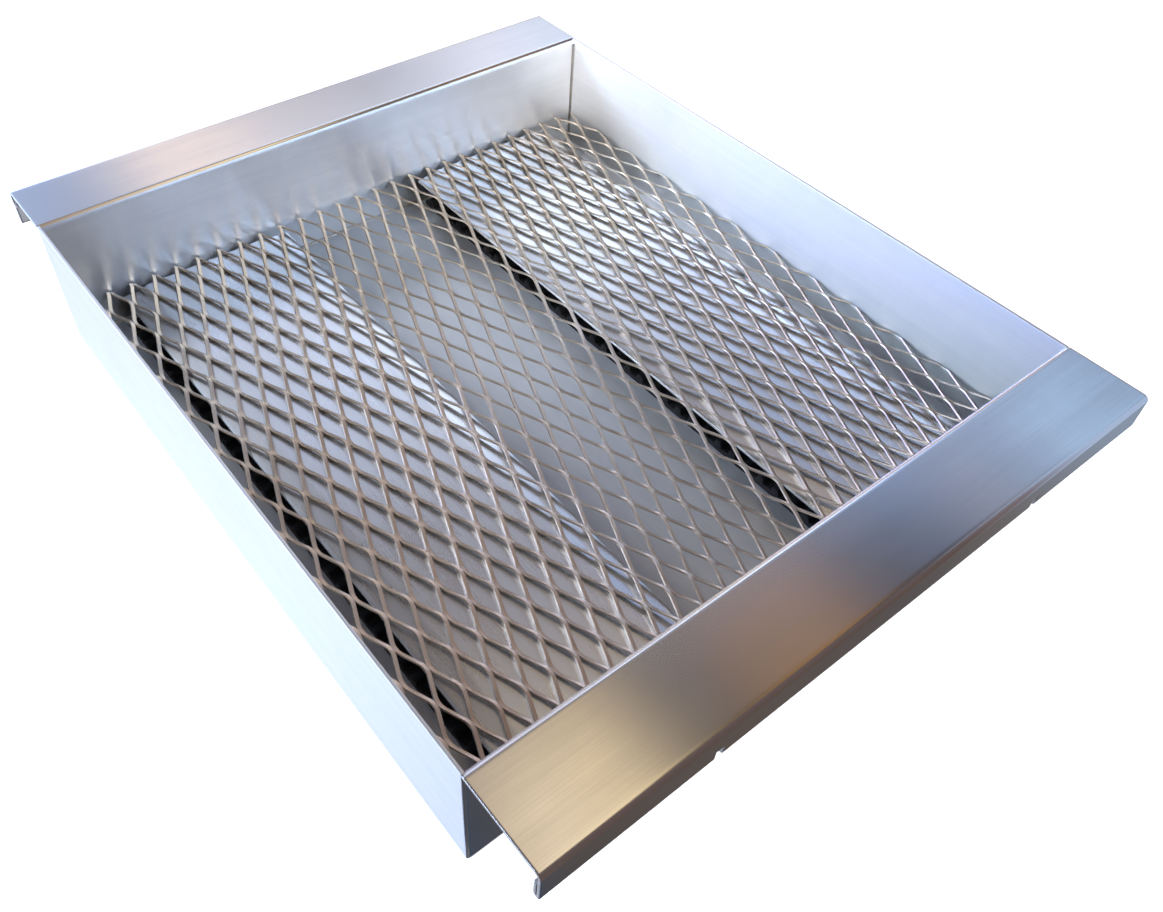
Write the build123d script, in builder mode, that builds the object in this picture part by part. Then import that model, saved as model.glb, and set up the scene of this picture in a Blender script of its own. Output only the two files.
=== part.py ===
from build123d import *
import os

# Sluice box: a folded stainless tray, closed at both ends, that hangs by a hooked flange at
# each end. A loose expanded-metal screen lies inside on two raised plates, and a strip of
# ribbed rubber matting lies on the floor under each plate.
#
# Millimetres. The origin is on the underside of the floor, in the middle. +Y runs along the
# tray to its rear end, +X to its right, +Z up.

# ---- driving dimensions ----
tray_width = 340.0          # outside the side walls
tray_length = 356.0         # outside the end walls
tray_height = 72.0          # underside of the floor to the rim
sheet = 1.5                 # tray and plate sheet
bend_inside = 1.5           # inside radius of every bend but the hem

front_flange_depth = 41.0   # end wall to the outside of the lip
rear_flange_depth = 38.0
lip_height = 19.0           # top of the flange to the bottom of the hem
hem_gap = 0.5               # between the lip and its folded-back leaf
hem_leaf = 9.0              # straight height of that leaf
notch_spacing = 184.0       # two notches in the front lip
notch_width = 4.0
notch_height = 6.5

screen_short_pitch = 12.7   # across the diamonds
screen_long_pitch = 30.48   # along the diamonds
screen_strand = 2.2         # width of a strand
screen_thickness = 3.0      # over the tilted strands
screen_middle = 22.3        # height of the screen's mid-plane
screen_clearance = 1.2      # to the walls all round
hole_x = 35.7               # centre of one hole
hole_y = 145.1

plate_inner_edge = 45.0     # from the tray's centre line
plate_outer_edge = 143.0
plate_clearance = 1.5       # plate ends to the end walls
border = 13.0               # strip along each long edge that is bent down
border_drop = 1.4           # fall across that strip

mat_inner_edge = 48.5
mat_outer_edge = 145.5
mat_base = 3.0              # solid rubber under the ribs
rib_height = 3.0
rib_pitch = 9.7
rib_foot = 5.0
rib_slope = 75.0            # degrees, side of a rib
mat_clearance = 3.0         # mat ends to the plate's legs

weld_leg = 1.2

# ---- worked out from them ----
half_width = tray_width / 2
half_length = tray_length / 2
inner_half_width = half_width - sheet
inner_half_length = half_length - sheet
bend_outside = bend_inside + sheet
bend_middle = bend_inside + sheet / 2
hem_middle = (sheet + hem_gap) / 2
plate_top = screen_middle - screen_thickness / 2
plate_middle = (plate_inner_edge + plate_outer_edge) / 2
plate_flat = plate_outer_edge - plate_inner_edge - 2 * border
plate_half_length = inner_half_length - plate_clearance
mat_middle = (mat_inner_edge + mat_outer_edge) / 2
mat_width = mat_outer_edge - mat_inner_edge
mat_length = 2 * (plate_half_length - sheet - mat_clearance)

SIDES = {"left": -1, "right": 1}
ENDS = {"front": -1, "rear": 1}

os.makedirs("parts", exist_ok=True)


def save(builder, name):
    builder.part.label = name
    export_step(builder.part, f"parts/{name}.step")


# ---- floor and side walls: one sheet folded to a U ----
with BuildPart() as floor_and_sides:
    with BuildSketch(Plane.XZ):
        with BuildLine():
            FilletPolyline(
                (-half_width + sheet / 2, tray_height),
                (-half_width + sheet / 2, sheet / 2),
                (half_width - sheet / 2, sheet / 2),
                (half_width - sheet / 2, tray_height),
                radius=bend_middle,
            )
        trace(line_width=sheet)
    extrude(amount=half_length, both=True)
save(floor_and_sides, "floor_and_sides")


# ---- end panels: wall, flange, lip and hem, each folded from one sheet ----
# The wall stands between the side walls. The flange is as wide as the whole tray.
def end_panel(end, flange_depth, notched):
    wall_y = end * (half_length - sheet / 2)
    flange_z = tray_height - sheet / 2
    lip_y = end * (half_length + flange_depth - sheet / 2)
    fold_z = tray_height - lip_height + sheet / 2 + hem_middle
    with BuildPart() as panel:
        with BuildSketch(Plane.YZ):
            with BuildLine():
                FilletPolyline(
                    (wall_y, sheet), (wall_y, flange_z), (lip_y, flange_z), (lip_y, fold_z),
                    radius=bend_middle,
                )
                fold = ThreePointArc(
                    (lip_y, fold_z),
                    (lip_y - end * hem_middle, fold_z - hem_middle),
                    (lip_y - end * 2 * hem_middle, fold_z),
                )
                Line(fold @ 1, (lip_y - end * 2 * hem_middle, fold_z + hem_leaf))
            trace(line_width=sheet)
        extrude(amount=half_width, both=True)
        # the side walls take the corners of the wall and of its top bend
        corner = inner_half_width + sheet / 2
        with Locations((-corner, 0, 0), (corner, 0, 0)):
            Box(sheet, tray_length, tray_height,
                align=(Align.CENTER, Align.CENTER, Align.MIN), mode=Mode.SUBTRACT)
        # and the bends at their feet take its bottom corners
        feet = panel.edges().filter_by(Axis.Y).group_by(Axis.Z)[0]
        fillet(feet, bend_inside)
        if notched:
            with Locations((-notch_spacing / 2, lip_y, tray_height - lip_height),
                           (notch_spacing / 2, lip_y, tray_height - lip_height)):
                Box(notch_width, 4 * bend_outside, 2 * notch_height, mode=Mode.SUBTRACT)
    return panel


save(end_panel(ENDS["front"], front_flange_depth, notched=True), "front_end_panel")
save(end_panel(ENDS["rear"], rear_flange_depth, notched=False), "rear_end_panel")


# ---- welds inside the tray ----
bead_foot = sheet + bend_outside
bead_top = tray_height - bend_outside
with BuildPart() as corner_welds:
    for x in SIDES.values():
        for y in ENDS.values():
            corner = (x * inner_half_width, y * inner_half_length, bead_foot)
            with BuildSketch(Plane(origin=corner)):
                Polygon((0, 0), (-x * weld_leg, 0), (0, -y * weld_leg), align=None)
            extrude(amount=bead_top - bead_foot)
save(corner_welds, "corner_welds")

with BuildPart() as floor_welds:
    for y in ENDS.values():
        with BuildSketch(Plane.YZ):
            with Locations((y * inner_half_length, sheet)):
                Polygon((0, 0), (-y * weld_leg, 0), (0, weld_leg), align=None)
        extrude(amount=inner_half_width - bend_outside, both=True)
save(floor_welds, "floor_welds")


# ---- expanded-metal screen: one loose sheet of diamonds, cut square at its edges ----
strand_share = screen_strand / 2 * (
    (2 / screen_short_pitch) ** 2 + (2 / screen_long_pitch) ** 2) ** 0.5
hole_half_x = screen_short_pitch / 2 * (1 - strand_share)
hole_half_y = screen_long_pitch / 2 * (1 - strand_share)
screen_half_x = inner_half_width - screen_clearance
screen_half_y = inner_half_length - screen_clearance
columns = int(2 * tray_width / screen_short_pitch)
rows = int(2 * tray_length / screen_long_pitch)
holes = [
    (hole_x + i * screen_short_pitch / 2, hole_y + j * screen_long_pitch / 2)
    for i in range(-columns, columns)
    for j in range(-2 * rows, rows)
    if (i + j) % 2 == 0
]
holes = [
    (x, y) for x, y in holes
    if abs(x) < screen_half_x + hole_half_x and abs(y) < screen_half_y + hole_half_y
]
with BuildPart() as expanded_screen:
    with BuildSketch(Plane.XY.offset(plate_top)):
        Rectangle(2 * screen_half_x, 2 * screen_half_y)
        with Locations(*holes):
            Polygon((hole_half_x, 0), (0, hole_half_y), (-hole_half_x, 0), (0, -hole_half_y),
                    mode=Mode.SUBTRACT)
    extrude(amount=screen_thickness)
print("screen holes", len(holes), "solids", len(expanded_screen.part.solids()))
save(expanded_screen, "expanded_screen")


# ---- raised plates: flat top, a leg folded down at each end, long borders bent down ----
def raised_plate(side):
    middle = side * plate_middle
    top_y = plate_half_length - sheet / 2
    top_z = plate_top - sheet / 2
    with BuildPart() as plate:
        with BuildSketch(Plane.YZ.offset(middle)):
            with BuildLine():
                FilletPolyline(
                    (-top_y, sheet), (-top_y, top_z), (top_y, top_z), (top_y, sheet),
                    radius=bend_middle,
                )
            trace(line_width=sheet)
        extrude(amount=plate_flat / 2, both=True)
        for edge in (-1, 1):
            fold = middle + edge * plate_flat / 2
            rim = fold + edge * border
            with BuildSketch(Plane.XZ):
                Polygon(
                    (fold, plate_top), (rim, plate_top - border_drop),
                    (rim, plate_top - border_drop - sheet), (fold, plate_top - sheet),
                    align=None,
                )
            extrude(amount=plate_half_length - bend_outside, both=True)
    return plate


for name, side in SIDES.items():
    save(raised_plate(side), f"{name}_raised_plate")


# ---- rubber mats: a flat strip with ribs across it ----
def ribbed_mat(side):
    rib_count = int((mat_length - rib_foot) / rib_pitch) + 1
    with BuildPart() as mat:
        with BuildSketch(Plane.YZ.offset(side * mat_middle)):
            with Locations((0, sheet)):
                Rectangle(mat_length, mat_base, align=(Align.CENTER, Align.MIN))
            with Locations((0, sheet + mat_base)):
                with GridLocations(rib_pitch, 0, rib_count, 1):
                    Trapezoid(rib_foot, rib_height, rib_slope,
                              align=(Align.CENTER, Align.MIN))
        extrude(amount=mat_width / 2, both=True)
    return mat


for name, side in SIDES.items():
    save(ribbed_mat(side), f"{name}_rubber_mat")
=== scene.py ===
import math

import bmesh
import bpy
from mathutils import Matrix, Vector, noise


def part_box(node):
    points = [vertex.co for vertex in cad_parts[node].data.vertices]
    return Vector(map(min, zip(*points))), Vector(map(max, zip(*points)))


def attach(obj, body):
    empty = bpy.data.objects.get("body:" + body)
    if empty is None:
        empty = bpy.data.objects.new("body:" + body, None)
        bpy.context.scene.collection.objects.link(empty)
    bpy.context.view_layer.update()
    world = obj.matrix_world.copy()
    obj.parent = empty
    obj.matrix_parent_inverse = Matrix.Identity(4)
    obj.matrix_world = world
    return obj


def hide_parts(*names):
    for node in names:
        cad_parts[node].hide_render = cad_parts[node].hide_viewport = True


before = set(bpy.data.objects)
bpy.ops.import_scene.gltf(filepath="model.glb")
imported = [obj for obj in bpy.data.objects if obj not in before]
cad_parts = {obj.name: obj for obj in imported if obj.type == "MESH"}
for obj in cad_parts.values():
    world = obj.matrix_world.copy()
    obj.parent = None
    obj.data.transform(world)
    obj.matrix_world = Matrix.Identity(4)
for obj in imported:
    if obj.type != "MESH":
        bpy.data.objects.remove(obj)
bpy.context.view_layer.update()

# ---------------------------------------------------------------- floor and side walls
# The tray's floor and its two side walls are one piece of 1.5 mm stainless sheet, folded up
# on a press brake. Its edges are sheared, so they are square and bright, and the grain of
# the brushed face runs along the tray.

MM = 0.001
SHEET = 1.5 * MM
BEND = 1.5 * MM + SHEET / 2             # radius of a bend, at the middle of the sheet
BEND_FACETS = 10                        # faces round each bend
BURR = 0.18 * MM                        # what is filed off the cut edges
FACE_STEP = 9 * MM                      # spacing of the mesh on flat faces
EDGE_STEP = 0.8 * MM                    # and beside an edge or a bend
SHEET_WAVE = 110 * MM                   # how far apart the soft waves of the sheet are
SHEET_DENT = 0.16 * MM                  # and how deep, never outwards
SMUDGE = 38 * MM                        # width of one wiped smudge
LEAST_WORN, MOST_WORN = 1.2, 2.0        # sums of the grain and the smudges
TINY = 1e-6                             # metres, less than any real distance here

tray_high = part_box("floor_and_sides")[1]
HALF_WIDTH = tray_high.x
HALF_LENGTH = tray_high.y
RIM = tray_high.z


def linear(hex_colour):
    """An sRGB colour such as #C8C8C8 as the linear RGBA that the shaders take."""
    channels = [int(hex_colour[i:i + 2], 16) / 255 for i in (1, 3, 5)]
    return tuple(
        c / 12.92 if c <= 0.04045 else ((c + 0.055) / 1.055) ** 2.4 for c in channels
    ) + (1.0,)


def add_node(tree, kind, sockets=None, **settings):
    """A node with its settings. A socket is given a value, or another node's output."""
    node = tree.nodes.new(kind)
    for name, value in settings.items():
        setattr(node, name, value)
    for name, value in (sockets or {}).items():
        if isinstance(value, bpy.types.NodeSocket):
            tree.links.new(value, node.inputs[name])
        else:
            node.inputs[name].default_value = value
    return node


def new_material(name):
    """A material with one Principled shader. Gives the material, its tree and the shader."""
    material = bpy.data.materials.new(name)
    material.use_nodes = True
    tree = material.node_tree
    tree.nodes.clear()
    shader = add_node(tree, "ShaderNodeBsdfPrincipled")
    add_node(tree, "ShaderNodeOutputMaterial", {"Surface": shader.outputs[0]})
    return material, tree, shader


def brushed_steel(name, along, light, dark, smooth, rough, anisotropy, grit, scratch):
    """Stainless sheet brushed along one axis with a belt of the given grit width. The fine
    scratches stretch each reflection across the grain, and wiping has left faint smudges."""
    material, tree, shader = new_material(name)
    place = add_node(tree, "ShaderNodeTexCoord").outputs["Object"]
    streaks = []
    for width, length, detail in ((grit, scratch, 4), (grit * 14, scratch * 5, 2)):
        scale = [1 / width] * 3
        scale["XYZ".index(along)] = 1 / length
        stretched = add_node(tree, "ShaderNodeMapping", {"Vector": place, "Scale": scale})
        streaks.append(add_node(tree, "ShaderNodeTexNoise", {
            "Vector": stretched.outputs[0], "Scale": 1.0, "Detail": detail,
            "Roughness": 0.6}).outputs[0])
    smudges = add_node(tree, "ShaderNodeTexNoise", {
        "Vector": place, "Scale": 1 / SMUDGE, "Detail": 4.0, "Roughness": 0.55}).outputs[0]
    grain = add_node(tree, "ShaderNodeMath", {0: streaks[0], 1: streaks[1]},
                     operation="ADD").outputs[0]
    worn = add_node(tree, "ShaderNodeMath", {0: smudges, 1: 1.2, 2: grain},
                    operation="MULTIPLY_ADD").outputs[0]
    tone = add_node(tree, "ShaderNodeMapRange", {
        "Value": worn, "From Min": LEAST_WORN, "From Max": MOST_WORN}).outputs[0]
    colour = add_node(tree, "ShaderNodeMix", {0: tone, 6: linear(light), 7: linear(dark)},
                      data_type="RGBA")
    tree.links.new(colour.outputs[2], shader.inputs["Base Color"])
    finish = add_node(tree, "ShaderNodeMapRange", {
        "Value": worn, "From Min": LEAST_WORN, "From Max": MOST_WORN,
        "To Min": smooth, "To Max": rough})
    tree.links.new(finish.outputs[0], shader.inputs["Roughness"])
    relief = add_node(tree, "ShaderNodeBump", {
        "Height": streaks[0], "Strength": 0.12, "Distance": 0.02 * MM})
    tree.links.new(relief.outputs[0], shader.inputs["Normal"])
    across = add_node(tree, "ShaderNodeTangent", direction_type="RADIAL", axis=along)
    tree.links.new(across.outputs[0], shader.inputs["Tangent"])
    shader.inputs["Metallic"].default_value = 1.0
    shader.inputs["Anisotropic"].default_value = anisotropy
    return material


def spread(low, high, step=FACE_STEP, beside=EDGE_STEP):
    """Places from low to high, about a step apart, with one more beside each end."""
    if high - low < 4 * beside:
        return [low, high]
    count = max(1, round((high - low) / step))
    inner = [low + (high - low) * i / count for i in range(1, count)]
    return [low, low + beside, *inner, high - beside, high]


def bent_line(corners):
    """The middle of a bent sheet, as rows of (place, normal). Each corner is (across, up,
    radius), and the normal is on the left of the way that the line runs."""
    points = [Vector(corner[:2]) for corner in corners]
    rows = []
    start = points[0]
    for index in range(1, len(points)):
        here = points[index]
        way = (here - points[index - 1]).normalized()
        left = Vector((-way.y, way.x))
        turn, reach = 0.0, 0.0
        if index < len(points) - 1:
            radius = corners[index][2]
            turn = -way.angle_signed((points[index + 1] - here).normalized())
            reach = radius * math.tan(abs(turn) / 2)
        run = (here - way * reach - start).length
        for distance in spread(0, run) if run > TINY else []:
            if not rows or (start + way * distance - rows[-1][0]).length > TINY:
                rows.append((start + way * distance, left))
        start = here - way * reach
        if abs(turn) > 1e-4:
            centre = start + left * math.copysign(radius, turn)
            for facet in range(1, BEND_FACETS + 1):
                angle = Matrix.Rotation(turn * facet / BEND_FACETS, 2)
                rows.append((centre + angle @ (start - centre), angle @ left))
            start = rows[-1][0].copy()
    return rows


def every_cell(row, column):
    """What to keep of a sheet that has no holes."""
    return True


def shell(name, upper, lower, keep=every_cell):
    """A solid between two grids of points. Cells that aren't kept leave a hole or a notch.
    The cut edges are a second material slot, and their corners are rounded."""
    rows, columns = len(upper), len(upper[0])
    solid = bmesh.new()
    layers = [[[solid.verts.new(point) for point in row] for row in layer]
              for layer in (upper, lower)]
    kept = {(i, j) for i in range(rows - 1) for j in range(columns - 1) if keep(i, j)}
    for i, j in kept:
        ring = ((i, j), (i + 1, j), (i + 1, j + 1), (i, j + 1))
        for layer in layers:
            solid.faces.new([layer[a][b] for a, b in ring])
        beyond = ((i, j - 1), (i + 1, j), (i, j + 1), (i - 1, j))
        for side, cell in enumerate(beyond):
            if cell not in kept:
                (a, b), (c, d) = ring[side], ring[(side + 1) % 4]
                edge = solid.faces.new(
                    (layers[0][a][b], layers[0][c][d], layers[1][c][d], layers[1][a][b]))
                edge.material_index = 1
    bmesh.ops.delete(solid, geom=[v for v in solid.verts if not v.link_faces],
                     context="VERTS")
    bmesh.ops.recalc_face_normals(solid, faces=solid.faces)
    solid.normal_update()
    rims = [e for e in solid.edges if any(f.material_index for f in e.link_faces)
            and e.calc_face_angle(0) > math.radians(60)]
    bmesh.ops.bevel(solid, geom=rims, offset=BURR, segments=2, profile=0.5,
                    affect="EDGES", clamp_overlap=True)
    return finished(name, solid)


def finished(name, solid, sharp=50):
    """The object of a bmesh, smooth but for edges sharper than the given degrees."""
    mesh = bpy.data.meshes.new(name)
    solid.to_mesh(mesh)
    solid.free()
    mesh.shade_smooth()
    mesh.set_sharp_from_angle(angle=math.radians(sharp))
    piece = bpy.data.objects.new(name, mesh)
    bpy.context.scene.collection.objects.link(piece)
    return piece


def dented(point, outward):
    """A point of a sheet, moved inwards by the sheet's soft waves."""
    wave = noise.noise(point / SHEET_WAVE) + 0.4 * noise.noise(point / (SHEET_WAVE / 3))
    return point - outward * SHEET_DENT * min(1, max(0, 0.5 + 0.5 * wave))


def folded_sheet(name, corners, axis, span, keep=every_cell):
    """A sheet bent along a line and run along an axis, with its outside on the line's left.
    span gives each row's places along the axis."""
    upper, lower = [], []
    for place, normal in bent_line(corners):
        outward = Vector((normal.x, 0, normal.y) if axis == "Y" else (0, normal.x, normal.y))
        places = []
        for along in span(place):
            point = (Vector((place.x, along, place.y)) if axis == "Y"
                     else Vector((along, place.x, place.y)))
            places.append(dented(point, outward))
        upper.append([p + outward * SHEET / 2 for p in places])
        lower.append([p - outward * SHEET / 2 for p in places])
    return shell(name, upper, lower, keep)


# Brushed stainless, number 4 finish: a satin grey mirror whose reflections smear across the
# grain. The belt's scratches are about 0.05 mm apart and drawn ten times as coarse.
GRIT = 0.5 * MM
SCRATCH = 45 * MM                       # length of one scratch
brushed_along = brushed_steel("brushed_stainless_along", "Y", light="#E2E3E5",
                              dark="#D5D7DA", smooth=0.37, rough=0.43, anisotropy=0.92,
                              grit=GRIT, scratch=SCRATCH)

# Sheared stainless: the blade leaves a torn, matt edge that catches light from all sides.
TEAR = 0.5 * MM                         # width of the marks that the shear tears
sheared_edge, tree, shader = new_material("sheared_stainless")
place = add_node(tree, "ShaderNodeTexCoord").outputs["Object"]
torn = add_node(tree, "ShaderNodeTexNoise", {
    "Vector": place, "Scale": 1 / TEAR, "Detail": 3.0}).outputs[0]
finish = add_node(tree, "ShaderNodeMapRange", {"Value": torn, "To Min": 0.28, "To Max": 0.5})
tree.links.new(finish.outputs[0], shader.inputs["Roughness"])
relief = add_node(tree, "ShaderNodeBump", {
    "Height": torn, "Strength": 0.3, "Distance": 0.05 * MM})
tree.links.new(relief.outputs[0], shader.inputs["Normal"])
shader.inputs["Base Color"].default_value = linear("#DCDCDC")
shader.inputs["Metallic"].default_value = 1.0

lengths = spread(-HALF_LENGTH, HALF_LENGTH)
trough = folded_sheet(
    "floor_and_side_walls",
    ((HALF_WIDTH - SHEET / 2, RIM, 0), (HALF_WIDTH - SHEET / 2, SHEET / 2, BEND),
     (-HALF_WIDTH + SHEET / 2, SHEET / 2, BEND), (-HALF_WIDTH + SHEET / 2, RIM, 0)),
    "Y", lambda place: lengths)
trough.data.materials.append(brushed_along)
trough.data.materials.append(sheared_edge)
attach(trough, "tray")
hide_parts("floor_and_sides")

# ---------------------------------------------------------------- end panels
# Each end of the tray is one more folded sheet: a wall that stands between the side walls, a
# flange that the tray hangs by, a lip, and a hem closed back behind the lip. The front flange
# is the deeper, and its lip has two small notches. The sheet's grain runs across the tray.

INNER_HALF_WIDTH = HALF_WIDTH - SHEET
HEM_GAP = 0.5 * MM
HEM_LEAF = 9 * MM
HEM_MIDDLE = (SHEET + HEM_GAP) / 2
NOTCH_PLACES = (-92 * MM, 92 * MM)
NOTCH_WIDTH = 4 * MM
NOTCH_HEIGHT = 6.5 * MM

brushed_across = brushed_steel("brushed_stainless_across", "X", light="#E2E2E3",
                               dark="#D6D6D7", smooth=0.33, rough=0.39, anisotropy=0.9,
                               grit=GRIT, scratch=SCRATCH)
# The flanges and lips were wiped and polished by handling, so their mirror is clearer.
handled = brushed_steel("handled_brushed_stainless", "X", light="#E2E2E3", dark="#D8D8D9",
                        smooth=0.16, rough=0.2, anisotropy=0.7,
                        grit=GRIT, scratch=SCRATCH)

LIP_FACES = {"front": -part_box("front_end_panel")[0].y, "rear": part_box("rear_end_panel")[1].y}
LIP_FOOT = 53 * MM                      # height of the hem's underside

cuts = [x + side * NOTCH_WIDTH / 2 for x in NOTCH_PLACES for side in (-1, 1)]
stops = [-HALF_WIDTH, *cuts, HALF_WIDTH]
widths = sorted({round(x, 7) for a, b in zip(stops, stops[1:]) for x in spread(a, b)})
wall_line = HALF_LENGTH - SHEET / 2
notch_top = LIP_FOOT + NOTCH_HEIGHT


def panel_span(place):
    """The wall fits between the side walls, and the flange is as wide as the tray."""
    reach = INNER_HALF_WIDTH if abs(place.x) < HALF_LENGTH else HALF_WIDTH
    return [x * reach / HALF_WIDTH for x in widths]


for name, end in (("front", -1), ("rear", 1)):
    lip_line = LIP_FACES[name] - SHEET / 2
    fold_line = lip_line - 2 * HEM_MIDDLE
    corners = [(wall_line, SHEET, 0), (wall_line, RIM - SHEET / 2, BEND),
               (lip_line, RIM - SHEET / 2, BEND), (lip_line, notch_top, 0),
               (lip_line, LIP_FOOT + SHEET / 2, HEM_MIDDLE),
               (fold_line, LIP_FOOT + SHEET / 2, HEM_MIDDLE), (fold_line, notch_top, 0),
               (fold_line, LIP_FOOT + SHEET / 2 + HEM_MIDDLE + HEM_LEAF, 0)]
    corners = [(end * across, up, radius) for across, up, radius in corners]
    if end < 0:
        corners.reverse()
    line = bent_line(corners)

    def whole(row, column):
        low = all(place.y < notch_top + TINY and abs(place.x) > fold_line - MM
                  for place, _ in line[row:row + 2])
        middle = (widths[column] + widths[column + 1]) / 2
        return not (low and any(abs(middle - x) < NOTCH_WIDTH / 2 for x in NOTCH_PLACES))

    panel = folded_sheet(f"{name}_end", corners, "X", panel_span,
                         whole if name == "front" else every_cell)
    panel.data.materials.append(brushed_across)
    panel.data.materials.append(sheared_edge)
    panel.data.materials.append(handled)
    for face in panel.data.polygons:
        if face.material_index == 0 and abs(face.center.y) > HALF_LENGTH - SHEET / 3:
            face.material_index = 2
    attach(panel, "tray")
    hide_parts(f"{name}_end_panel")

# ---------------------------------------------------------------- welds
# The end walls are joined to the trough with small TIG beads inside the tray, one up each
# corner and one along the foot of each end wall. They are stainless filler, left as welded.

INNER_HALF_LENGTH = HALF_LENGTH - SHEET
WELD_LEG = 1.2 * MM
WELD_ROOT = 0.3 * MM                    # how far a bead bites into its plates
RIPPLE = 1.3 * MM                       # one pool of the bead to the next
STEPS_PER_RIPPLE = 4
SWELL = 0.14                            # how much a bead swells at each pool
WELD_UNEVENNESS = 0.06                  # how much the hand's pace changes its size
WELD_END = 0.6                          # its size at its two ends
weld_foot, weld_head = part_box("corner_welds")[0].z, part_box("corner_welds")[1].z
floor_weld_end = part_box("floor_welds")[1].x


def weld_beads(name, beads):
    """Rippled fillet beads. Each is (start, end, the two ways along its plates)."""
    solid = bmesh.new()
    for start, end, one, other in beads:
        steps = int((end - start).length / (RIPPLE / STEPS_PER_RIPPLE))
        rings = []
        for step in range(steps + 1):
            along = (end - start).length * step / steps
            pool = abs(math.sin(math.pi * along / RIPPLE))
            leg = WELD_LEG * (1 - SWELL + SWELL * pool)
            pace = noise.noise(Vector((along / (6 * MM), start.x, start.y)))
            leg *= 1 + WELD_UNEVENNESS * pace
            if step in (0, steps):
                leg *= WELD_END
            middle = start + (end - start) * step / steps
            ring = [middle - (one + other) * WELD_ROOT, middle + one * leg - other * WELD_ROOT]
            for turn in range(5):
                angle = math.pi / 2 * turn / 4
                ring.append(middle + one * leg * math.cos(angle) ** 1.5
                            + other * leg * math.sin(angle) ** 1.5)
            ring.append(middle + other * leg - one * WELD_ROOT)
            rings.append([solid.verts.new(point) for point in ring])
        for ring, after in zip(rings, rings[1:]):
            for i in range(len(ring)):
                j = (i + 1) % len(ring)
                solid.faces.new((ring[i], ring[j], after[j], after[i]))
        solid.faces.new(rings[0])
        solid.faces.new(reversed(rings[-1]))
    bmesh.ops.recalc_face_normals(solid, faces=solid.faces)
    piece = finished(name.removesuffix("s") + "_beads", solid, sharp=60)
    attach(piece, "tray")
    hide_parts(name)
    return piece


# As-welded stainless: bright ripples with a straw and blue-grey heat tint.
weld_metal, tree, shader = new_material("as_welded_stainless")
place = add_node(tree, "ShaderNodeTexCoord").outputs["Object"]
heat = add_node(tree, "ShaderNodeTexNoise", {
    "Vector": place, "Scale": 1 / (7 * MM), "Detail": 3.0}).outputs[0]
tint = add_node(tree, "ShaderNodeValToRGB", {"Fac": heat})
tint.color_ramp.elements[0].position = 0.3
tint.color_ramp.elements[0].color = linear("#A7A9AD")
tint.color_ramp.elements[1].position = 0.7
tint.color_ramp.elements[1].color = linear("#C9C2B4")
tree.links.new(tint.outputs[0], shader.inputs["Base Color"])
finish = add_node(tree, "ShaderNodeMapRange", {"Value": heat, "To Min": 0.2, "To Max": 0.4})
tree.links.new(finish.outputs[0], shader.inputs["Roughness"])
shader.inputs["Metallic"].default_value = 1.0

UP = Vector((0, 0, 1))
corner_beads, foot_beads = [], []
for y in (-1, 1):
    inward_y = Vector((0, -y, 0))
    for x in (-1, 1):
        corner = Vector((x * INNER_HALF_WIDTH, y * INNER_HALF_LENGTH, 0))
        corner_beads.append((corner + UP * weld_foot, corner + UP * weld_head,
                             Vector((-x, 0, 0)), inward_y))
    foot = Vector((0, y * INNER_HALF_LENGTH, SHEET))
    half_run = Vector((floor_weld_end, 0, 0))
    foot_beads.append((foot - half_run, foot + half_run, inward_y, UP))
for name, beads in (("corner_welds", corner_beads), ("floor_welds", foot_beads)):
    weld_beads(name, beads).data.materials.append(weld_metal)

# ---------------------------------------------------------------- rubber mats
# Under each raised plate a strip of moulded black rubber lies loose on the floor. Its ribs
# run across the flow to hold what settles there.

MAT_BASE = 3 * MM                       # solid rubber under the ribs
RIB_HEIGHT = 3 * MM
RIB_PITCH = 9.7 * MM
RIB_FOOT = 5 * MM
RIB_SLOPE = math.radians(75)
RIB_ROUND = 0.7 * MM                    # the moulded round at a rib's foot and top

# Moulded rubber: nearly black, matt, with a fine mould grain and grey dust on its ribs.
black_rubber, tree, shader = new_material("moulded_black_rubber")
place = add_node(tree, "ShaderNodeTexCoord").outputs["Object"]
dust = add_node(tree, "ShaderNodeTexNoise", {
    "Vector": place, "Scale": 1 / (22 * MM), "Detail": 6.0, "Roughness": 0.65}).outputs[0]
tint = add_node(tree, "ShaderNodeValToRGB", {"Fac": dust})
tint.color_ramp.elements[0].position = 0.42
tint.color_ramp.elements[0].color = linear("#0D0D0E")
tint.color_ramp.elements[1].position = 0.8
tint.color_ramp.elements[1].color = linear("#2A2826")
tree.links.new(tint.outputs[0], shader.inputs["Base Color"])
mould = add_node(tree, "ShaderNodeTexNoise", {
    "Vector": place, "Scale": 1 / (0.6 * MM), "Detail": 2.0}).outputs[0]
finish = add_node(tree, "ShaderNodeMapRange", {"Value": mould, "To Min": 0.55, "To Max": 0.8})
tree.links.new(finish.outputs[0], shader.inputs["Roughness"])
relief = add_node(tree, "ShaderNodeBump", {
    "Height": mould, "Strength": 0.4, "Distance": 0.06 * MM})
tree.links.new(relief.outputs[0], shader.inputs["Normal"])
shader.inputs["IOR"].default_value = 1.52
shader.inputs["Specular IOR Level"].default_value = 0.35


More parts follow.
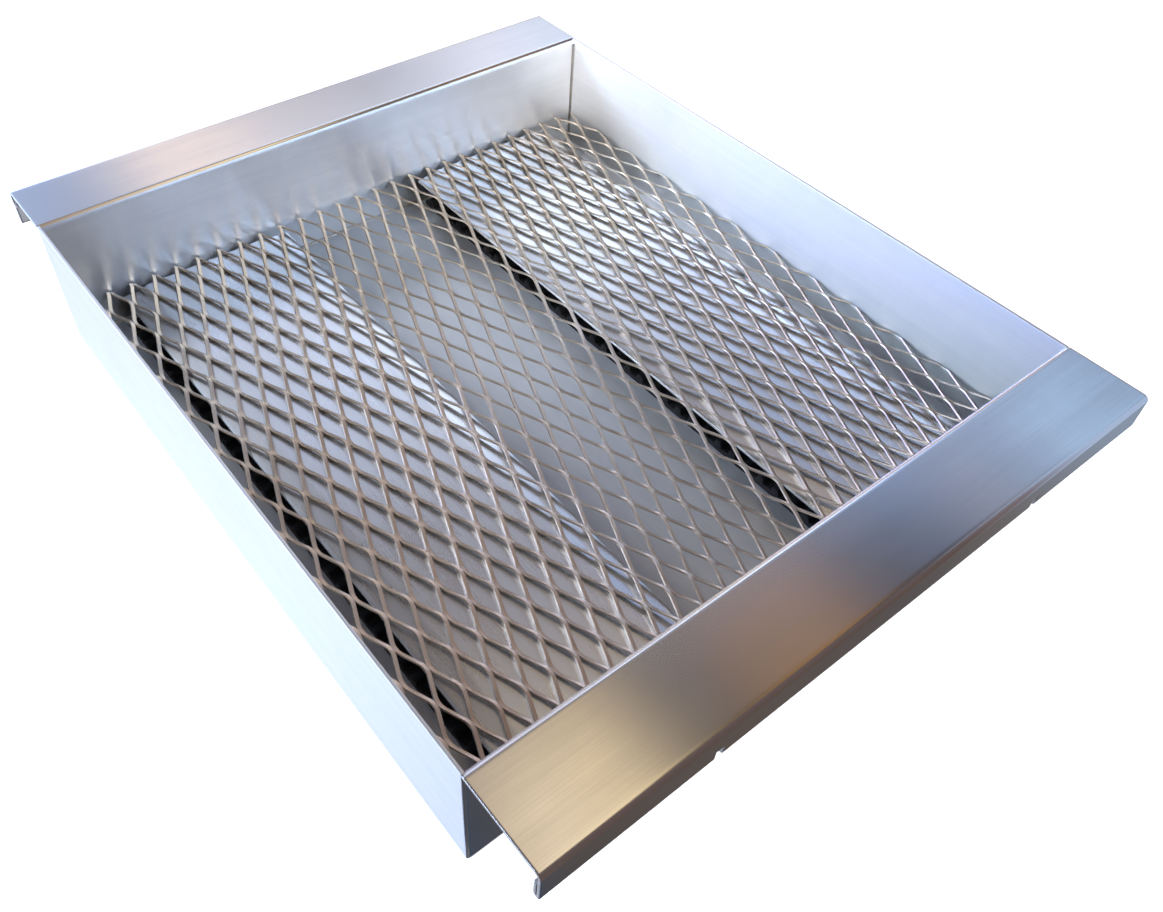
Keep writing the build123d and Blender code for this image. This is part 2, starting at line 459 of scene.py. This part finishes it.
def rib_outline(low, high, foot_height):
    """The top of a ribbed strip from low to high, as (along, up)."""
    count = int((high - low - RIB_FOOT) / RIB_PITCH) + 1
    slope = RIB_HEIGHT / math.tan(RIB_SLOPE)
    outline = [(low, foot_height)]
    for index in range(count):
        middle = (low + high) / 2 + (index - (count - 1) / 2) * RIB_PITCH
        half = ((-RIB_FOOT / 2 - RIB_ROUND / 2, 0), (-RIB_FOOT / 2, 0.03),
                (-RIB_FOOT / 2 + 0.25 * slope, 0.25),
                (-RIB_FOOT / 2 + 0.78 * slope, 0.78), (-RIB_FOOT / 2 + slope * 1.15, 0.93),
                (-RIB_FOOT / 2 + slope + RIB_ROUND * 0.8, 1.0))
        outline += [(middle + a, foot_height + RIB_HEIGHT * b) for a, b in half]
        outline += [(middle - a, foot_height + RIB_HEIGHT * b) for a, b in reversed(half)]
    return outline + [(high, foot_height)]


for side in ("left", "right"):
    low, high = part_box(f"{side}_rubber_mat")
    columns = spread(low.x, high.x, step=12 * MM)
    outline = rib_outline(low.y, high.y, low.z + MAT_BASE)
    upper = [[Vector((x, y, z)) for x in columns] for y, z in outline]
    lower = [[Vector((x, y, low.z)) for x in columns] for y, z in outline]
    mat = shell(f"{side}_ribbed_mat", upper, lower)
    mat.data.materials.append(black_rubber)
    mat.data.materials.append(black_rubber)     # the strip's cut ends
    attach(mat, f"{side}_mat")
    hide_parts(f"{side}_rubber_mat")

# ---------------------------------------------------------------- raised plates
# Two loose plates of stainless sheet stand over the mats. Each has a leg folded down at both
# ends, and its long borders are pressed down a little, so their cut edges shine.

BORDER = 13 * MM                        # strip along each long edge
BORDER_DROP = 1.4 * MM                  # how far its edge is pressed down
BORDER_SOFTNESS = 1.5 * MM

# Bright-rolled stainless, 2B finish: a clearer mirror than the brushed trough, a little
# clouded by wear, so what lies on it shows a second time, softly.
plate_steel = brushed_steel("bright_rolled_stainless", "Y", light="#E6E7E9",
                            dark="#D9DBDE", smooth=0.24, rough=0.34, anisotropy=0.4,
                            grit=0.6 * MM, scratch=30 * MM)


def border_fall(across, flat):
    """How far the plate lies below its flat top, at a distance from its middle."""
    beyond = abs(across) - flat
    eased = beyond if beyond > BORDER_SOFTNESS else max(
        0, beyond + BORDER_SOFTNESS) ** 2 / (4 * BORDER_SOFTNESS)
    return BORDER_DROP * eased / BORDER


for side in ("left", "right"):
    low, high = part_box(f"{side}_raised_plate")
    middle = (low.x + high.x) / 2
    flat = (high.x - low.x) / 2 - BORDER
    end = high.y - SHEET / 2
    top = high.z - SHEET / 2
    across = sorted({round(x, 7) for a, b in
                     ((-flat - BORDER, -flat), (-flat, flat), (flat, flat + BORDER))
                     for x in spread(a, b, beside=1.5 * MM)})
    line = bent_line(((-end, low.z, 0), (-end, top, BEND), (end, top, BEND),
                      (end, low.z, 0)))
    upper, lower = [], []
    for place, normal in line:
        outward = Vector((0, normal.x, normal.y))
        row = []
        for x in across:
            point = Vector((middle + x, place.x, place.y))
            point.z -= border_fall(x, flat)
            row.append(dented(point, outward))
        upper.append([p + outward * SHEET / 2 for p in row])
        lower.append([p - outward * SHEET / 2 for p in row])

    def on_plate(row, column):
        on_top = all(place.y > top - TINY for place, _ in line[row:row + 2])
        return on_top or abs(across[column] + across[column + 1]) / 2 < flat

    plate = shell(f"{side}_plate_top", upper, lower, on_plate)
    plate.data.materials.append(plate_steel)
    plate.data.materials.append(sheared_edge)
    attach(plate, f"{side}_plate")
    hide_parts(f"{side}_raised_plate")

# ---------------------------------------------------------------- expanded-metal screen
# The screen is raised expanded metal: sheet slit in staggered rows and pulled open, so every
# strand is a ribbon that winds between its neighbours and leans. It lies loose on the plates.

SHORT_PITCH = 12.7 * MM                 # across the diamonds
LONG_PITCH = 30.48 * MM                 # along the diamonds
STRAND_WIDTH = 2.2 * MM
STRAND_THICK = 1.0 * MM
STRAND_CORNER = 0.16 * MM               # the worn corners of a strand
STRAND_LAP = 0.02 * MM                  # how far two strands overlap at a bond
EDGE_INSET = 0.3 * MM                   # the sheared side edges, inside the CAD screen's
LEAN = math.radians(28)                 # how far the raised strands are turned on edge
HOLE = Vector((35.7 * MM, 145.1 * MM))  # centre of one hole
BOND_SHARE = 1.3                        # how long the flat of each bond is
BOND_KNEE = 0.75                        # where a strand starts to ease into a bond

screen_low, screen_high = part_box("expanded_screen")
SCREEN_MIDDLE = (screen_low.z + screen_high.z) / 2
SWING = (SHORT_PITCH / 2 - STRAND_WIDTH * math.cos(LEAN)) / 2
LIFT = STRAND_WIDTH * math.sin(LEAN) / 2


def winding(share):
    """Where a strand is between its two bonds, -1 to 1, for a share of the long pitch."""
    sawtooth = 4 * abs((share % 1) - 0.5) - 1
    reach = BOND_SHARE * abs(sawtooth)
    rest = 1 - BOND_KNEE
    if reach > BOND_KNEE:
        over = min(reach - BOND_KNEE, 2 * rest)
        reach = BOND_KNEE + over - over * over / (4 * rest)
    return math.copysign(reach, sawtooth)


def strand_ring(x, y, z):
    """The section of a leaning strand, a flat bar with its corners taken off."""
    wide = Vector((math.cos(LEAN), 0, -math.sin(LEAN)))
    thick = Vector((math.sin(LEAN), 0, math.cos(LEAN)))
    w, t, c = STRAND_WIDTH / 2 + STRAND_LAP, STRAND_THICK / 2, STRAND_CORNER
    outline = ((-w, -t + c), (-w, t - c), (-w + c, t), (w - c, t),
               (w, t - c), (w, -t + c), (w - c, -t), (-w + c, -t))
    return [Vector((x, y, z)) + wide * a + thick * b for a, b in outline]


solid = bmesh.new()
inner_x, inner_y = screen_high.x - EDGE_INSET, screen_high.y
first_x = HOLE.x - SHORT_PITCH / 4
quarter = (0, 0.3, 0.55, 0.7, 0.82, 0.92)   # places of the rings, closest beside a bond
shares = sorted({round(((turn + (q if turn % 2 == 0 else 1 - q)) / 4 + 0.25) % 1, 5)
                 for turn in range(4) for q in quarter})
count = int(2 * inner_y / LONG_PITCH) + 4
places = sorted(HOLE.y + (turn + share) * LONG_PITCH
                for turn in range(-count, count) for share in shares)
places = [y for y in places if abs(y) < inner_y + LONG_PITCH / 8]
most = int(4 * inner_x / SHORT_PITCH)
for strand in range(-most, most):
    x = first_x + strand * SHORT_PITCH / 2
    if abs(x) > inner_x + SWING + STRAND_WIDTH:
        continue
    sign = 1 if strand % 2 == 0 else -1
    rings = []
    for y in places:
        swing = -sign * winding((y - HOLE.y) / LONG_PITCH)
        ring = strand_ring(x + SWING * swing, y, SCREEN_MIDDLE + LIFT * swing)
        rings.append([solid.verts.new(point) for point in ring])
    for ring, after in zip(rings, rings[1:]):
        for i in range(8):
            j = (i + 1) % 8
            solid.faces.new((ring[i], ring[j], after[j], after[i]))
    solid.faces.new(rings[0])
    solid.faces.new(reversed(rings[-1]))
for normal, reach in (((1, 0, 0), inner_x), ((-1, 0, 0), inner_x),
                      ((0, 1, 0), inner_y), ((0, -1, 0), inner_y)):
    cut = bmesh.ops.bisect_plane(
        solid, geom=[*solid.verts, *solid.edges, *solid.faces], dist=1e-7,
        plane_co=Vector(normal) * reach, plane_no=normal, clear_outer=True)
    rim = [e for e in cut["geom_cut"] if isinstance(e, bmesh.types.BMEdge)]
    bmesh.ops.holes_fill(solid, edges=rim, sides=0)
bmesh.ops.recalc_face_normals(solid, faces=solid.faces)
screen = finished("screen_strands", solid, sharp=35)

# Mill-finish expanded stainless: the strands keep the rolled sheet's satin, under a thin tan
# film of dried silt. Their lean makes each face catch another part of the room.
screen_steel, tree, shader = new_material("expanded_stainless")
place = add_node(tree, "ShaderNodeTexCoord").outputs["Object"]
rolled = add_node(tree, "ShaderNodeTexNoise", {
    "Vector": place, "Scale": 1 / (1.6 * MM), "Detail": 4.0, "Roughness": 0.6}).outputs[0]
cloud = add_node(tree, "ShaderNodeTexNoise", {
    "Vector": place, "Scale": 1 / (55 * MM), "Detail": 3.0}).outputs[0]
tint = add_node(tree, "ShaderNodeValToRGB", {"Fac": cloud})
tint.color_ramp.elements[0].position = 0.35
tint.color_ramp.elements[0].color = linear("#DACCBC")
tint.color_ramp.elements[1].position = 0.65
tint.color_ramp.elements[1].color = linear("#C6B6A4")
tree.links.new(tint.outputs[0], shader.inputs["Base Color"])
finish = add_node(tree, "ShaderNodeMapRange", {"Value": rolled, "To Min": 0.24, "To Max": 0.42})
tree.links.new(finish.outputs[0], shader.inputs["Roughness"])
relief = add_node(tree, "ShaderNodeBump", {
    "Height": rolled, "Strength": 0.25, "Distance": 0.05 * MM})
tree.links.new(relief.outputs[0], shader.inputs["Normal"])
shader.inputs["Metallic"].default_value = 1.0
screen.data.materials.append(screen_steel)
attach(screen, "screen")
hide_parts("expanded_screen")

# ---------------------------------------------------------------- stage, light and camera
# The tray stands on a plain white floor that is lit from below, like a light table. Metal
# shows what is round it, so rows of soft panels hang over the tray and stand round it.

FLOOR_DROP = 0.3 * MM                   # keeps the floor clear of the tray's underside
FLOOR_REACH = 60.0                      # metres, past the horizon of any low view

floor_mesh = bpy.data.meshes.new("studio_floor")
floor_mesh.from_pydata(
    [(x * FLOOR_REACH, y * FLOOR_REACH, 0) for x, y in ((-1, -1), (1, -1), (1, 1), (-1, 1))],
    [], [(0, 1, 2, 3)])
floor = bpy.data.objects.new("studio_floor", floor_mesh)
floor.location.z = -FLOOR_DROP
bpy.context.scene.collection.objects.link(floor)
# Opal plastic sheet: matt and almost plain white, glowing evenly.
opal, tree, shader = new_material("opal_white_plastic")
place = add_node(tree, "ShaderNodeTexCoord").outputs["Object"]
mottle = add_node(tree, "ShaderNodeTexNoise", {"Vector": place, "Scale": 6.0}).outputs[0]
tint = add_node(tree, "ShaderNodeValToRGB", {"Fac": mottle})
tint.color_ramp.elements[0].color = linear("#F4F4F5")
tint.color_ramp.elements[1].color = linear("#F8F8F8")
tree.links.new(tint.outputs[0], shader.inputs["Base Color"])
shader.inputs["Roughness"].default_value = 0.9
shader.inputs["Specular IOR Level"].default_value = 0.1
shader.inputs["Emission Color"].default_value = linear("#FFFFFF")
shader.inputs["Emission Strength"].default_value = 0.9
floor_mesh.materials.append(opal)
floor.visible_glossy = False

# A card stands before the front lip, out of the camera's sight, so that the lip and its bend
# show a dark board that turns pale blue to the right, and not the windows behind it.
CARD_AHEAD = 30 * MM                    # from the lip to the card
CARD_FOOT = 20 * MM
CARD_HEAD = 125 * MM
CARD_LEFT = -500 * MM
CARD_RIGHT = 600 * MM
card_mesh = bpy.data.meshes.new("card_before_lip")
card_y = -LIP_FACES["front"] - CARD_AHEAD
card_mesh.from_pydata(
    [(CARD_LEFT, card_y, CARD_FOOT), (CARD_RIGHT, card_y, CARD_FOOT),
     (CARD_RIGHT, card_y, CARD_HEAD), (CARD_LEFT, card_y, CARD_HEAD)], [], [(0, 1, 2, 3)])
card = bpy.data.objects.new("card_before_lip", card_mesh)
bpy.context.scene.collection.objects.link(card)
# Dark card with a painted fade: matt, and lit from behind so that its tint shows.
card_board, tree, shader = new_material("tinted_matt_card")
place = add_node(tree, "ShaderNodeSeparateXYZ", {
    0: add_node(tree, "ShaderNodeTexCoord").outputs["Object"]}).outputs["X"]
share = add_node(tree, "ShaderNodeMapRange", {
    "Value": place, "From Min": CARD_LEFT, "From Max": CARD_RIGHT}).outputs[0]
tint = add_node(tree, "ShaderNodeValToRGB", {"Fac": share})
marks = tint.color_ramp.elements
for index, (x, colour) in enumerate((
        (CARD_LEFT, "#5C4A3E"), (60 * MM, "#645248"), (110 * MM, "#84787C"),
        (165 * MM, "#B8CCEC"))):
    where = (x - CARD_LEFT) / (CARD_RIGHT - CARD_LEFT)
    mark = marks[index] if index < 2 else marks.new(where)
    mark.position = where
    mark.color = linear(colour)
tree.links.new(tint.outputs[0], shader.inputs["Emission Color"])
shader.inputs["Emission Strength"].default_value = 1.0
shader.inputs["Base Color"].default_value = linear("#101010")
shader.inputs["Roughness"].default_value = 0.9
card_mesh.materials.append(card_board)
card.visible_camera = False
card.visible_diffuse = False

world = bpy.data.worlds.new("studio")
bpy.context.scene.world = world
world.use_nodes = True
tree = world.node_tree
tree.nodes.clear()
FAR = 1000
LEVEL = 0.004                           # how near to level a direction counts as level
SOFT = 0.08                             # half the width of a row's soft edge
STOPS_FROM, STOPS_TO = -4, 4

# Each row of panels is a band across the room: over or under the tray, where it lies ahead of
# the tray, its strength, and the colours along it from left to right. Places are shares of
# the row's height above the tray, and behind the tray they are more than 0.
ROWS = (
    # a warm board, a dark gap and a pale panel over the front of the tray
    ("over", (-0.7, 0.4), 1.2, (
        (-1.0, "#404C60"), (0.0, "#46443E"), (0.16, "#A8907A"), (0.28, "#FFE8C2"),
        (0.38, "#FFE2AE"), (0.45, "#3E2E12"), (0.50, "#241604"), (0.56, "#7E5A24"),
        (0.68, "#986C34"), (0.76, "#301800"), (0.85, "#14161C"), (0.94, "#4C5066"),
        (1.01, "#B4AEB6"), (1.06, "#3E5070"), (1.13, "#B4D0F2"), (1.32, "#9AB6D8"),
        (1.6, "#3C4456"), (2.6, "#8C6C50"))),
    # the same over the middle, darker and cooler
    ("over", (0.4, 0.85), 1.1, (
        (-1.0, "#404C60"), (0.1, "#4C3C32"), (0.40, "#64544A"), (0.60, "#9490A0"),
        (0.78, "#8494B4"), (0.94, "#ACC8FC"), (1.2, "#A8C0E4"), (1.6, "#6C7890"),
        (2.6, "#B08C6C"))),
    ("over", (0.85, 1.3), 2.4, (
        (-0.6, "#B8D0EE"), (0.0, "#A2A09C"), (0.3, "#8890A8"), (0.45, "#8894B0"),
        (0.6, "#D8E6FF"), (0.9, "#ECF6FF"), (1.2, "#D0DEFF"), (1.6, "#7E8CA8"),
        (2.6, "#66503C"))),
    ("over", (1.3, 2.2), 2.4, (
        (-1.2, "#9CD4FF"), (-0.2, "#9CCCF8"), (0.1, "#7E8EA4"), (0.29, "#5C6678"),
        (0.38, "#747880"), (0.46, "#C0AEA0"), (0.58, "#D0BAAC"), (0.66, "#948C88"),
        (0.84, "#847878"), (0.93, "#2C3242"), (0.99, "#565464"), (1.06, "#A09CA8"),
        (1.2, "#A8A6B0"), (1.35, "#8C9AAC"), (1.9, "#7C848E"), (2.6, "#7C6450"))),
    # tall windows to the rear left, and a deep blue evening sky behind them
    ("over", (0.75, 2.2), 7.0, ((-2.5, "#D8F0FF"), (-1.0, "#F0F0FA"), (-0.5, "#000000"))),
    ("over", (2.2, FAR), 8.0, (
        (-3.0, "#7C8CFF"), (-2.0, "#A8A8E4"), (-0.5, "#A0A8D8"), (0.2, "#788CC0"),
        (0.8, "#545E70"), (2.4, "#5C4C40"), (3.4, "#58483C"))),
    # two windows in front, and a soft one above the right-hand one
    ("over", (-FAR, -1.3), 13.0, ((-1.4, "#FFFFFF"), (-0.9, "#000000"))),
    ("over", (-2.2, -1.3), 6.8, (
        (0.3, "#000000"), (0.5, "#B0CCF0"), (1.2, "#C4E0FF"), (1.6, "#E0F0FF"),
        (2.4, "#FFFFFF"), (2.8, "#000000"))),
    ("over", (-1.3, -0.75), 4.0, (
        (0.1, "#303844"), (0.42, "#7C90B4"), (0.6, "#A4C0E8"), (0.94, "#E4F0FF"),
        (1.6, "#E4F0FF"))),
    # under the tray's level, seen only in reflections: a bright floor behind and to the left,
    # and in front the floor darkened by painted shade, the tray's own shadow
    ("under", (0.2, FAR), 0.72, ((-1.0, "#E6E8F6"), (1.0, "#F4F6F4"), (1.6, "#A0A0A0"))),
    ("under", (-FAR, 0.2), 0.4, (
        (-0.6, "#90A0B8"), (-0.1, "#2C405C"), (0.2, "#3C5070"), (0.28, "#6C5C4C"),
        (0.5, "#806850"), (0.8, "#786860"), (1.0, "#9C9088"), (1.25, "#D0E4FF"),
        (2.0, "#B0C4E0"))),
)

direction = add_node(tree, "ShaderNodeTexCoord").outputs["Generated"]
axes = add_node(tree, "ShaderNodeSeparateXYZ", {0: direction})
rise = add_node(tree, "ShaderNodeMath", {0: axes.outputs["Z"]}, operation="ABSOLUTE")
rise = add_node(tree, "ShaderNodeMath", {0: rise.outputs[0], 1: LEVEL}, operation="MAXIMUM")
aside, ahead = (add_node(tree, "ShaderNodeMath", {0: axes.outputs[axis], 1: rise.outputs[0]},
                         operation="DIVIDE").outputs[0] for axis in ("X", "Y"))
halves = {name: add_node(tree, "ShaderNodeMath", {0: axes.outputs["Z"], 1: 0.0},
                         operation=test).outputs[0]
          for name, test in (("over", "GREATER_THAN"), ("under", "LESS_THAN"))}
along = add_node(tree, "ShaderNodeMapRange", {
    "Value": aside, "From Min": STOPS_FROM, "From Max": STOPS_TO}).outputs[0]
light = add_node(tree, "ShaderNodeRGB").outputs[0]
light.default_value = linear("#3A3E44")  # the room between the panels
for half, (near, far), strength, stops in ROWS:
    ramp = add_node(tree, "ShaderNodeValToRGB", {"Fac": along})
    marks = ramp.color_ramp.elements
    for index, (place, colour) in enumerate(stops):
        where = (place - STOPS_FROM) / (STOPS_TO - STOPS_FROM)
        mark = marks[index] if index < 2 else marks.new(where)
        mark.position = where
        mark.color = linear(colour)
    share = halves[half]
    for edge, first, last in ((near, 0.0, strength), (far, 1.0, 0.0)):
        band = add_node(tree, "ShaderNodeMapRange", {
            "Value": ahead, "From Min": edge - SOFT, "From Max": edge + SOFT,
            "To Min": first, "To Max": last}, interpolation_type="SMOOTHSTEP").outputs[0]
        share = add_node(tree, "ShaderNodeMath", {0: share, 1: band},
                         operation="MULTIPLY").outputs[0]
    lit = add_node(tree, "ShaderNodeVectorMath", {0: ramp.outputs[0], "Scale": share},
                   operation="SCALE").outputs[0]
    light = add_node(tree, "ShaderNodeVectorMath", {0: light, 1: lit}).outputs[0]
background = add_node(tree, "ShaderNodeBackground", {"Color": light, "Strength": 1.0})
add_node(tree, "ShaderNodeOutputWorld", {"Surface": background.outputs[0]})

CAMERA_PLACE = Vector((-247.2, -300.8, 384.8)) * MM
CAMERA_AZIMUTH = math.radians(-40.82)
CAMERA_ELEVATION = math.radians(48.67)
CAMERA_ROLL = math.radians(3.09)
CAMERA_FOCUS, CAMERA_SENSOR = 32.26, 36     # focal length and sensor width, in millimetres
CAMERA_SHIFT = (0.0298, 0.0096)             # shares of the sensor's width
lens = bpy.data.cameras.new("camera")
lens.lens = CAMERA_FOCUS
lens.sensor_width = CAMERA_SENSOR
lens.shift_x, lens.shift_y = CAMERA_SHIFT
lens.clip_start = 0.01
camera = bpy.data.objects.new("camera", lens)
camera.location = CAMERA_PLACE
camera.rotation_euler = (
    Matrix.Rotation(CAMERA_AZIMUTH, 3, "Z")
    @ Matrix.Rotation(math.pi / 2 - CAMERA_ELEVATION, 3, "X")
    @ Matrix.Rotation(CAMERA_ROLL, 3, "Z")).to_euler()
bpy.context.scene.collection.objects.link(camera)
bpy.context.scene.camera = camera
bpy.context.scene.view_settings.view_transform = "Standard"
bpy.context.scene.view_settings.look = "None"
